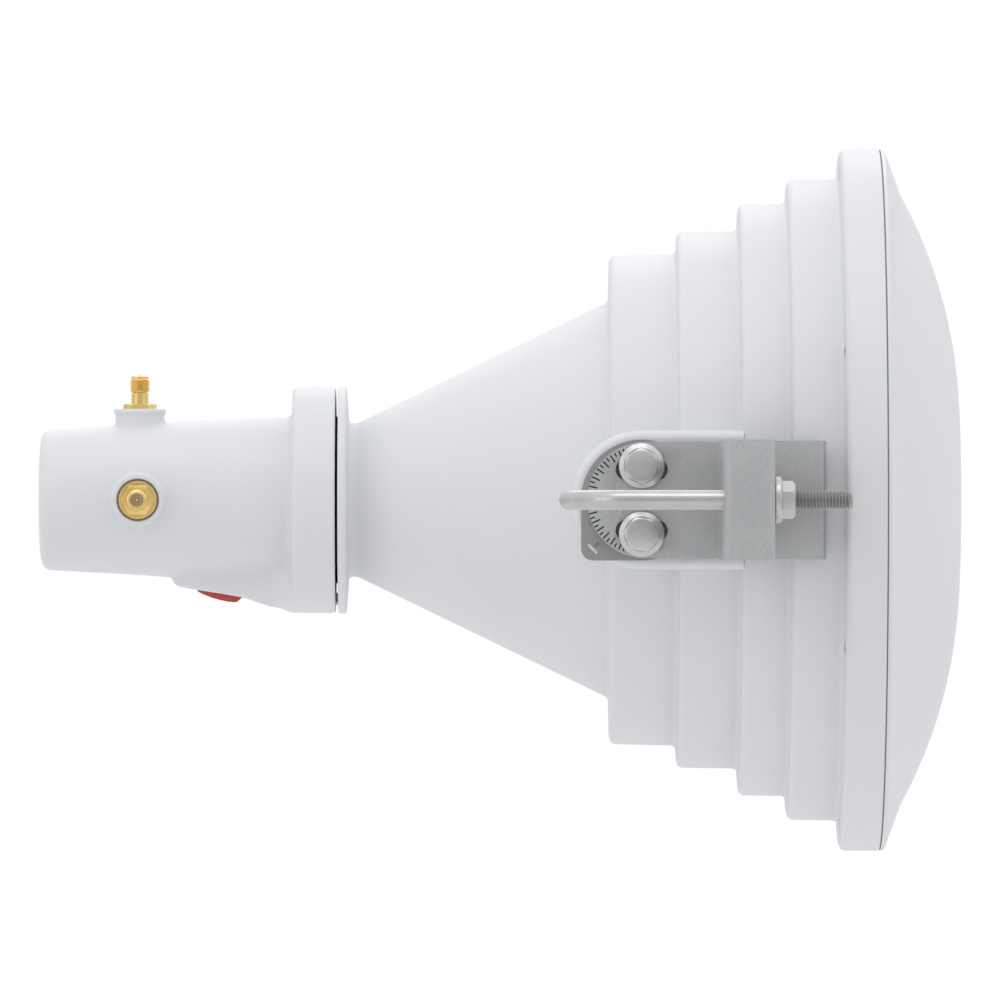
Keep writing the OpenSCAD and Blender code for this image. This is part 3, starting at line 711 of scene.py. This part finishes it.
fair_side = [(-146.3, -15), (-146.3, -25.0), (-146.05, -25.9), (-145.4, -26.6), (-144.4, -27.1), (-143.0, -27.45),
             (-140.8, -27.8), (-138.6, -28.15), (-131.0, -29.3), (-124.2, -30.5), (-120.4, -31.7), (-117.3, -32.8),
             (-115.1, -33.45), (-112.6, -33.8), (-111.4, -34.25), (-110.2, -35.0), (-108.6, -35.4),
             (-104.4, -35.4), (-104.4, -15)]
fair_plan = [(-146.3, 0), (-146.2, 1.5), (-145.6, 3.4), (-144.4, 5.6), (-142.4, 7.8), (-139.2, 9.6), (-134.5, 10.8),
             (-128, 11.5), (-122, 12.0), (-117, 12.7), (-114.1, 13.6), (-111.8, 15.1), (-109.8, 17.2),
             (-108.4, 19.8), (-104.4, 19.8)]
fs = prism("fairing", [(x + DAX, z) for x, z in fair_side], -22, 22, lambda u, v, w: (u, AY + w, AZ + v))
fp = prism("plan", [(x + DAX, y) for x, y in fair_plan] + [(x + DAX, -y) for x, y in fair_plan[::-1][:-1]], -37, -10,
           lambda u, v, w: (u, AY + v, AZ + w))
boolean(fs, fp, "INTERSECT")
boolean(fs, lathe("round", [(-150 + DAX, 0), (-150 + DAX, CR - 0.05), (-104.4 + DAX, CR - 0.05), (-104.4 + DAX, 0)], 144), "INTERSECT")
voxel(fs, 0.42, 14)
boolean(house, fs, "UNION")
neck = [(10, 0), (10, 9.0), (21.0, 8.6), (22.0, 8.25), (23.0, 7.95), (24.2, 7.72), (25.6, 7.62), (26.9, 7.62), (27.0, 7.7),
        (27.05, 7.9), (27.15, 8.12), (27.35, 8.2), (28.2, 8.2), (28.45, 8.12), (28.6, 7.9), (28.6, 0)]
boolean(house, lathe("neck_top", neck, 96, frame_of=axis_z(SMA_X, AY, AZ)), "UNION")
boolean(house, lathe("neck_front", neck, 96, frame_of=axis_my(SMA_X, AY, AZ)), "UNION")
voxel(house, 0.5, 3)
hollow = lathe("inside", [(-186.0 + DAX, 0), (-186.0 + DAX, 20.35), (-106.3 + DAX, 23.9), (-106.3 + DAX, 33.15),
                          (-93 + DAX, 33.15), (-93 + DAX, 0)], 96)
boolean(house, hollow, smooth=40)
room = prism("room", [(x + DAX, z) for x, z in ((-141.8, -22), (-141.8, -27.1), (-138.9, -27.1), (-138.9, -36), (-124.0, -36),
                                                (-124.0, -29.6), (-122.6, -29.9), (-122.6, -22))], -6.3, 6.3,
             lambda u, v, w: (u, AY + w, AZ + v))
arm = prism("arm", [(x + DAX, z) for x, z in ((-123, -22), (-123, -29.8), (-120.4, -30.5), (-117.5, -31.3), (-112, -32.5),
                                              (-108, -33.0), (-105.5, -33.0), (-105.5, -22))], -3.4, 3.4,
            lambda u, v, w: (u, AY + w, AZ + v))
boolean(room, arm, "UNION")
core = lathe("core", [(x + DAX, r) for x, r in spline(body_line, 3)] + [(-103.0 + DAX, 25.7), (-103.0 + DAX, 0)], 96)
boolean(room, core)
boolean(house, room, smooth=40)
for place in (axis_z(SMA_X, AY, AZ), axis_my(SMA_X, AY, AZ)):
    well = fillet([(15, 0, 0), (15, 5.7, 0), (24.3, 5.7, 0), (24.3, 3.3, 0), (26.3, 3.3, 0), (26.3, 6.6, 0), (28.35, 6.6, 0),
                   (28.75, 7.0, 0), (31, 7.0, 0), (31, 0, 0)], 2, 0)
    boolean(house, lathe("well", [tuple(p) for p in well], 96, frame_of=place), smooth=40)
finish_piece(house, HOUSING, "adaptor", "white_housing", "adaptor_housing")

# --- connectors --------------------------------------------------------------


def connector(name, place, node):
    parts = []
    base = fillet([(18.7, 2.0, 0), (18.7, 3.05, 0.2), (27.2, 3.05, 0), (27.2, 6.0, 0.15), (28.4, 6.0, 0.25),
                   (28.4, 2.67, 0), (33.6, 2.67, 0), (33.6, 2.0, 0)], 3, 0.1)
    shell = lathe(name, [tuple(p) for p in base], 96, 35, frame_of=place)
    af = 9.1
    hexa = []
    for i in range(6):
        hexa.append((af / 2 / math.cos(math.pi / 6) * math.cos(i * math.pi / 3), af / 2 / math.cos(math.pi / 6) * math.sin(i * math.pi / 3)))
    bolt = prism("hex", hexa, 28.3, 30.1, lambda u, v, w: place(w, math.hypot(u, v), math.atan2(v, u)))
    cone = fillet([(28.0, 0, 0), (28.0, 6.2, 0), (29.6, 5.6, 0), (30.1, 4.75, 0), (30.1, 0, 0)], 2, 0)
    boolean(bolt, lathe("chamfer", [tuple(p) for p in cone], 96, frame_of=place), "INTERSECT", 25)
    bevel(bolt, 0.07, 2)
    boolean(bolt, lathe("bore", [(28.0, 0), (28.0, 2.6), (31, 2.6), (31, 0)], 64, frame_of=place), smooth=30)
    boolean(shell, bolt, "UNION", 30)
    barrel = thread("barrel", place, 33.75, 38.05, 3.175, 2.72, 0.7056, 64, 12)
    boolean(barrel, lathe("bore2", [(33.0, 0), (33.0, 2.0), (39, 2.0), (39, 0)], 64, frame_of=place), smooth=50)
    nose = lathe("nose", fillet([(37.9, 2.0, 0), (37.9, 2.67, 0), (38.8, 2.67, 0.25), (38.8, 2.0, 0.12)], 3, 0.05), 96, 35, frame_of=place)
    boolean(barrel, nose, "UNION", 50)
    boolean(shell, barrel, "UNION", 40)
    finish_piece(shell, GOLD, "adaptor", "gold", node)
    return shell


connector("connector_top", axis_z(SMA_X, AY, AZ), "sma_shell_top")
connector("connector_front", axis_my(SMA_X, AY, AZ), "sma_shell_front")
for n, place in (("top", axis_z(SMA_X, AY, AZ)), ("front", axis_my(SMA_X, AY, AZ))):
    pin = lathe("contact_" + n, fillet([(7.4, 0, 0), (7.4, 1.5, 0.3), (17.5, 1.5, 0.1), (17.8, 0.6, 0), (38.7, 0.6, 0.1),
                                        (39.2, 0.16, 0), (39.2, 0, 0)], 3, 0.05), 48, 30, frame_of=place)
    finish_piece(pin, GOLD, "adaptor", "gold", "sma_contact_" + n)
    ins = lathe("insulator_" + n, fillet([(18.0, 0.63, 0), (18.0, 1.98, 0), (36.6, 1.98, 0.06), (36.6, 0.63, 0.06)], 2, 0.05), 64, 30,
                frame_of=place)
    finish_piece(ins, PTFE, "adaptor", "insulator", "sma_insulator_" + n)

# --- bracket --------------------------------------------------------------------

ST = 2.0
YP = B_HI[1]                      # back of the pivot plate
YF = YP - ST
XW1, XW2 = B_LO[0] + 41.1, B_HI[0] - 16.8
YM, YNF, XE = 34.5 + (YP - 44.8), B_LO[1] + ST, B_HI[0]
HB = (B_HI[2] - B_LO[2]) / 2
strip = fillet([(23.4, YF, 0), (XW1, YF, 0.8), (XW1, YNF - ST, 2.3), (XW2, YNF - ST, 2.3), (XW2, YM - ST, 1.0),
                (XE, YM - ST, 1.9), (XE, YM + 1.6, 0.4), (XE - ST, YM + 1.6, 0), (XE - ST, YM, 0), (XW2 - ST, YM, 2.9),
                (XW2 - ST, YNF, 0.4), (XW1 + ST, YNF, 0.4), (XW1 + ST, YP, 2.7), (23.4, YP, 0)], 7, 0)
bracket = prism("bracket", [tuple(p) for p in strip], -HB, HB, lambda u, v, w: (u, v, w))
cap = [(1.2 + 17.9 * math.cos(q), 17.9 * math.sin(q)) for q in np.linspace(math.pi / 2, 3 * math.pi / 2, 65)]
plate = prism("plate", cap + [(23.7, -17.9), (23.7, 17.9)], YF, YP, lambda u, v, w: (u, w, v))
boolean(bracket, plate, "UNION")
for sgn in (1, -1):
    mid_a = math.pi / 2
    t = math.radians(27)
    pts = [(10.5 + 3.25, q) for q in np.linspace(mid_a - t, mid_a + t, 25)]
    out_line = [(r * math.cos(q), r * math.sin(q)) for r, q in pts]
    e = (10.5 * math.cos(mid_a + t), 10.5 * math.sin(mid_a + t))
    out_line += [(e[0] + 3.25 * math.cos(q), e[1] + 3.25 * math.sin(q)) for q in np.linspace(mid_a + t, mid_a + t + math.pi, 17)[1:-1]]
    out_line += [(7.25 * math.cos(q), 7.25 * math.sin(q)) for q in np.linspace(mid_a + t, mid_a - t, 25)]
    e = (10.5 * math.cos(mid_a - t), 10.5 * math.sin(mid_a - t))
    out_line += [(e[0] + 3.25 * math.cos(q), e[1] + 3.25 * math.sin(q)) for q in np.linspace(mid_a - t + math.pi, mid_a - t + 2 * math.pi, 17)[1:-1]]
    boolean(bracket, prism("arc_slot", [(x + PX, sgn * z + PZ) for x, z in out_line], YF - 1, YP + 1, lambda u, v, w: (u, w, v)))
for sgn in (1, -1):
    boolean(bracket, lathe("leg_hole", [(20, 0), (20, 3.3), (44, 3.3), (44, 0)], 48, frame_of=axis_x(0, sgn * 22.5, 0)))
bevel(bracket, 0.16, 2, 40)
finish_piece(bracket, GALV, "bracket", "galvanised", "bracket_plate")

marks = []
for deg in range(15, 80, 5):
    longer = deg % 10 == 5
    for sgn in (1, -1):
        q = math.radians(180 - sgn * deg)
        r1, r0 = 16.75, 16.75 - (2.6 if longer else 1.4)
        d, n = np.array([math.cos(q), math.sin(q)]), np.array([-math.sin(q), math.cos(q)])
        wd = 0.22
        quad = fillet([(*(d * r0 - n * wd), 0.08), (*(d * r1 - n * wd), 0.08), (*(d * r1 + n * wd), 0.08), (*(d * r0 + n * wd), 0.08)], 2, 0)
        marks.append(prism("mark", [(x + PX, z + PZ) for x, z in quad], YF - 0.02, YF + 0.05, lambda u, v, w: (u, w, v)))
finish_piece(joined("scale_marks", marks), INK, "bracket", "scale_ink" if "scale_ink" in [m["slot"] for m in frame["record"]["materials"]] else "black_rubber")

# pointer plate
PR = (P_HI[0] - P_LO[0]) / 2
pl = [(PR * math.cos(q), PR * math.sin(q)) for q in np.linspace(-math.pi / 2, math.pi, 81)]
pl += [tuple(p) for p in fillet([(-PR, 0, 0), (-PR, -PR, 3.7), (0, -PR, 0)], 10, 0)[1:-1]]
pointer = prism("pointer", [(x + PX, z + PZ) for x, z in pl], P_LO[1], P_HI[1], lambda u, v, w: (u, w, v))
for sgn in (1, -1):
    boolean(pointer, lathe("hole", [(-1, 0), (-1, 3.3), (5, 3.3), (5, 0)], 48,
                           frame_of=lambda a, r, q, sgn=sgn: (PX + r * math.cos(q), P_LO[1] + a, PZ + sgn * 10.5 + r * math.sin(q))))


def at45(u, v):
    """A point of the pointer mark: u outwards along the lower left diagonal, v across it."""
    c = math.sqrt(0.5)
    return (PX - u * c + v * c, PZ - u * c - v * c)


bar = prism("bar", [at45(20.6, -1.9), at45(21.6, -1.9), at45(21.6, 1.9), at45(20.6, 1.9)], P_LO[1] - 1, P_HI[1] + 1, lambda u, v, w: (u, w, v))
boolean(pointer, bar)
stem = prism("stem", [at45(18.6, -0.45), at45(20.65, -0.45), at45(20.65, 0.45), at45(18.6, 0.45)], P_LO[1] - 1, P_LO[1] + 0.5, lambda u, v, w: (u, w, v))
boolean(pointer, stem)
bevel(pointer, 0.25, 3, 40)
finish_piece(pointer, GREY, "horn", "grey_plastic", "pointer_plate")


def hex_head(name, place, h0, h1, af, turn, flange, bore=None, dome=0.9):
    """A flange and a chamfered hexagon on it, one solid."""
    e = af / 2 / math.cos(math.pi / 6)
    hx = [(e * math.cos(turn + i * math.pi / 3), e * math.sin(turn + i * math.pi / 3)) for i in range(6)]
    ob = prism(name, hx, h0, h1, lambda u, v, w: place(w, math.hypot(u, v), math.atan2(v, u)))
    cone = [(h0 - 1, 0), (h0 - 1, e + 0.2), (h1 - dome, e + 0.2), (h1 - dome, e + 0.02), (h1 - 0.12, af / 2 - 0.1), (h1, af / 2 - 0.35), (h1, 0)]
    boolean(ob, lathe("crown", cone, 96, frame_of=place), "INTERSECT", 30)
    bevel(ob, 0.14, 2, 32)
    boolean(ob, lathe("flange", [tuple(p) for p in fillet(flange, 5, 0.15)], 96, frame_of=place), "UNION", 30)
    if bore:
        boolean(ob, lathe("bore", [tuple(p) for p in fillet([(h0 - 6, 0, 0), (h0 - 6, bore, 0), (h1 - 0.6, bore, 0), (h1 + 0.1, bore + 0.7, 0), (h1 + 1, bore + 0.7, 0), (h1 + 1, 0, 0)], 1, 0)], 48, frame_of=place), smooth=30)
    return ob


heads = []
for z, turn in ((10.5, math.radians(32)), (-10.5, math.radians(-8))):
    place = (lambda a, r, q, z=z: (PX + r * math.cos(q), T0 - a, PZ + z + r * math.sin(q)))
    T0 = YF - 0.1
    ob = hex_head("bolt", place, 1.0, 5.9, 10.0, turn,
                  [(0, 0, 0), (0, 6.75, 0.1), (0.35, 7.05, 0.25), (0.95, 7.0, 0.35), (1.95, 5.5, 0.4), (1.95, 0, 0)])
    boolean(ob, lathe("shank", [(-15.6, 0), (-15.6, 2.4), (-15.0, 3.0), (0.5, 3.0), (0.5, 0)], 48, frame_of=place), "UNION", 30)
    heads.append(ob)
finish_piece(joined("tilt_bolt_pair", heads), STEEL, "horn", "stainless", "tilt_bolts")

nuts = []
for sgn in (1, -1):
    place = axis_x(N_LO[0], sgn * 22.5, 0)
    nuts.append(hex_head("nut", place, 1.6, 6.2, 10.0, math.radians(30 + 3.4 - 60),
                         [(0, 0, 0), (0, 6.85, 0.1), (0.3, 7.1, 0.2), (1.75, 7.1, 0.35), (2.3, 6.2, 0.2), (2.3, 0, 0)], bore=3.05))
finish_piece(joined("clamp_nut_pair", nuts), STEEL, "bracket", "stainless", "clamp_nuts")

# the U-bolt: a smooth rod with a rolled thread on both legs
LEG = (U_HI[1] - U_LO[1]) / 2 - 3.0
X_END, X_THREAD = U_HI[0], U_HI[0] - 35.5
path = [(X_THREAD + 0.5, -LEG), (X_THREAD * 0.66, -LEG), (X_THREAD * 0.33, -LEG)]
path += [(-LEG * math.sin(q), -LEG * math.cos(q)) for q in np.linspace(0, math.pi, 61)]
path += [(X_THREAD * 0.33, LEG), (X_THREAD * 0.66, LEG), (X_THREAD + 0.5, LEG)]
rings = []
for i, (x, y) in enumerate(path):
    a = np.array(path[min(i + 1, len(path) - 1)]) - np.array(path[max(i - 1, 0)])
    a = a / np.linalg.norm(a)
    nrm = np.array([-a[1], a[0]])
    rings.append([(x + 3.0 * math.cos(q) * nrm[0], y + 3.0 * math.cos(q) * nrm[1], 3.0 * math.sin(q))
                  for q in np.linspace(0, 2 * math.pi, 41)[:-1]])
rod = loft("rod", rings, 40)
finish_piece(rod, ROD, "clamp", "stainless_rod", "u_bolt")
legs = [thread("leg", axis_x(0, sgn * LEG, 0), X_THREAD, X_END, 2.98, 2.42, 1.0, 48, 10, 0.12, 0.9) for sgn in (1, -1)]
# The threads wear the darker steel, painted shade for their grooves.
finish_piece(joined("rod_threads", legs, 50), THREAD_PAINTED_SHADE, "clamp", "stainless_rod")

# the red lever
btn = spline([(-139.0, -26.75), (-138.5, -27.4), (-138.25, -28.6), (-136.1, -29.75), (-132.6, -31.0), (-128.9, -31.85), (-126.6, -32.05),
              (-125.8, -31.8), (-124.4, -30.6)], 4)
btn = [tuple(p) for p in btn] + [(-124.4, -29.3), (-123.3, -29.0), (-123.3, -27.1), (-129, -26.45), (-136, -25.55), (-139.4, -24.7), (-140.0, -26.85)]
LW = (L_HI[1] - L_LO[1]) / 2
LX, LY = L_HI[0] + 95.0, (L_LO[1] + L_HI[1]) / 2
lever = prism("lever", [(x + LX, z) for x, z in btn], -LW, LW, lambda u, v, w: (u, LY + w, AZ + v))
bevel(lever, 0.4, 3, 40)
armp = [(-124.5, -27.2), (-118, -28.4), (-111, -30.1), (-106.5, -30.6), (-95.2, -30.6), (-95.0, -30.8), (-95.0, -32.5), (-107, -32.5),
        (-112, -32.0), (-118, -30.6), (-124.5, -29.2)]
boolean(lever, prism("lever_arm", [(x + LX, z) for x, z in armp], -3, 3, lambda u, v, w: (u, LY + w, AZ + v)), "UNION")
eye = lambda a, r, q: (-140.0 + LX + r * math.cos(q), LY + a, AZ - 25.7 + r * math.sin(q))
boolean(lever, lathe("eye", [(-LW, 0), (-LW, 1.2), (LW, 1.2), (LW, 0)], 40, frame_of=eye), "UNION")
boolean(lever, lathe("eye_bore", [(-9, 0), (-9, 0.85), (9, 0.85), (9, 0)], 32, frame_of=eye))
boolean(lever, lathe("seat", [(-28.6, 0), (-28.6, 2.7), (-24, 2.7), (-24, 0)], 32, frame_of=axis_z(-129.5 + LX, LY, AZ)))
finish_piece(lever, RED, "latch", "red_plastic", "latch_lever")

for n, m in (("radome_gasket", SEAM), ("port_seal", BLACK), ("waveguide_body", CAST), ("bayonet_ring", STEEL),
             ("ring_screws", STEEL), ("sma_seal_top", BLACK), ("sma_seal_front", BLACK), ("latch_pin", STEEL), ("latch_spring", STEEL)):
    cad(n, m)

# --- surroundings ----------------------------------------------------------------

floor = prism("floor", [(1.8e3 * math.cos(q) - 43, 1.8e3 * math.sin(q) + 100) for q in np.linspace(0, 2 * math.pi, 97)[:-1]],
              -362, -360, lambda u, v, w: (u, v, w))
fm = Mat("floor_paint", (0.80, 0.80, 0.80), 0.7)
fn = fm.noise(30.0, 3.0, 0.5)
fm.set(Base_Color=fm.mix(fm.rangeto(fn, 0, 1, 0.3, 0.7), (0.78, 0.78, 0.78), (0.82, 0.82, 0.82)))
wear(floor, fm.m)

W_BASE, W_UP, W_DOWN, W_FRONT = 0.80, 0.32, 0.12, -0.22
world = bpy.data.worlds.new("studio")
bpy.context.scene.world = world
world.use_nodes = True
wt = world.node_tree
bg = wt.nodes["Background"]
out = wt.nodes["World Output"]
tc = wt.nodes.new("ShaderNodeTexCoord")
sp = wt.nodes.new("ShaderNodeSeparateXYZ")
wt.links.new(tc.outputs["Generated"], sp.inputs[0])


def wmath(op, a, b=0.0):
    n = wt.nodes.new("ShaderNodeMath")
    n.operation = op
    for i, v in enumerate((a, b)):
        if isinstance(v, (int, float)):
            n.inputs[i].default_value = v
        else:
            wt.links.new(v, n.inputs[i])
    return n.outputs[0]


up = wmath("MAXIMUM", sp.outputs["Z"], 0.0)
down = wmath("MAXIMUM", wmath("MULTIPLY", sp.outputs["Z"], -1.0), 0.0)
front = wmath("MAXIMUM", wmath("MULTIPLY", sp.outputs["Y"], -1.0), 0.0)
level = wmath("ADD", W_BASE, wmath("MULTIPLY", up, W_UP))
level = wmath("ADD", level, wmath("MULTIPLY", down, W_DOWN))
level = wmath("ADD", level, wmath("MULTIPLY", wmath("POWER", front, 1.5), W_FRONT))
bg.inputs["Color"].default_value = (0.985, 0.99, 1.0, 1)
wt.links.new(level, bg.inputs["Strength"])
bg2 = wt.nodes.new("ShaderNodeBackground")
bg2.inputs["Color"].default_value = (1, 1, 1, 1)
bg2.inputs["Strength"].default_value = 1.0
lp = wt.nodes.new("ShaderNodeLightPath")
mx = wt.nodes.new("ShaderNodeMixShader")
wt.links.new(lp.outputs["Is Camera Ray"], mx.inputs["Fac"])
wt.links.new(bg.outputs[0], mx.inputs[1])
wt.links.new(bg2.outputs[0], mx.inputs[2])
wt.links.new(mx.outputs[0], out.inputs["Surface"])


def softbox(name, loc, aim, size, power, color=(1, 1, 1)):
    l = bpy.data.lights.new(name, "AREA")
    l.shape, l.size, l.size_y, l.energy, l.color = "RECTANGLE", size[0], size[1], power, color
    o = bpy.data.objects.new(name, l)
    bpy.context.scene.collection.objects.link(o)
    o.location = loc
    d = Vector(aim) - Vector(loc)
    o.rotation_euler = d.to_track_quat("-Z", "Y").to_euler()
    return o


mid = (-0.04, 0.1, 0.0)
softbox("key", (-0.3, -1.0, 2.2), mid, (2.2, 1.2), 8)
softbox("fill_left", (-2.2, -1.4, 0.5), mid, (1.2, 1.6), 3)
softbox("fill_right", (2.2, -1.2, 0.4), mid, (1.2, 1.6), 2.5)
softbox("back", (0.2, 2.0, 1.4), mid, (2.0, 1.2), 6)
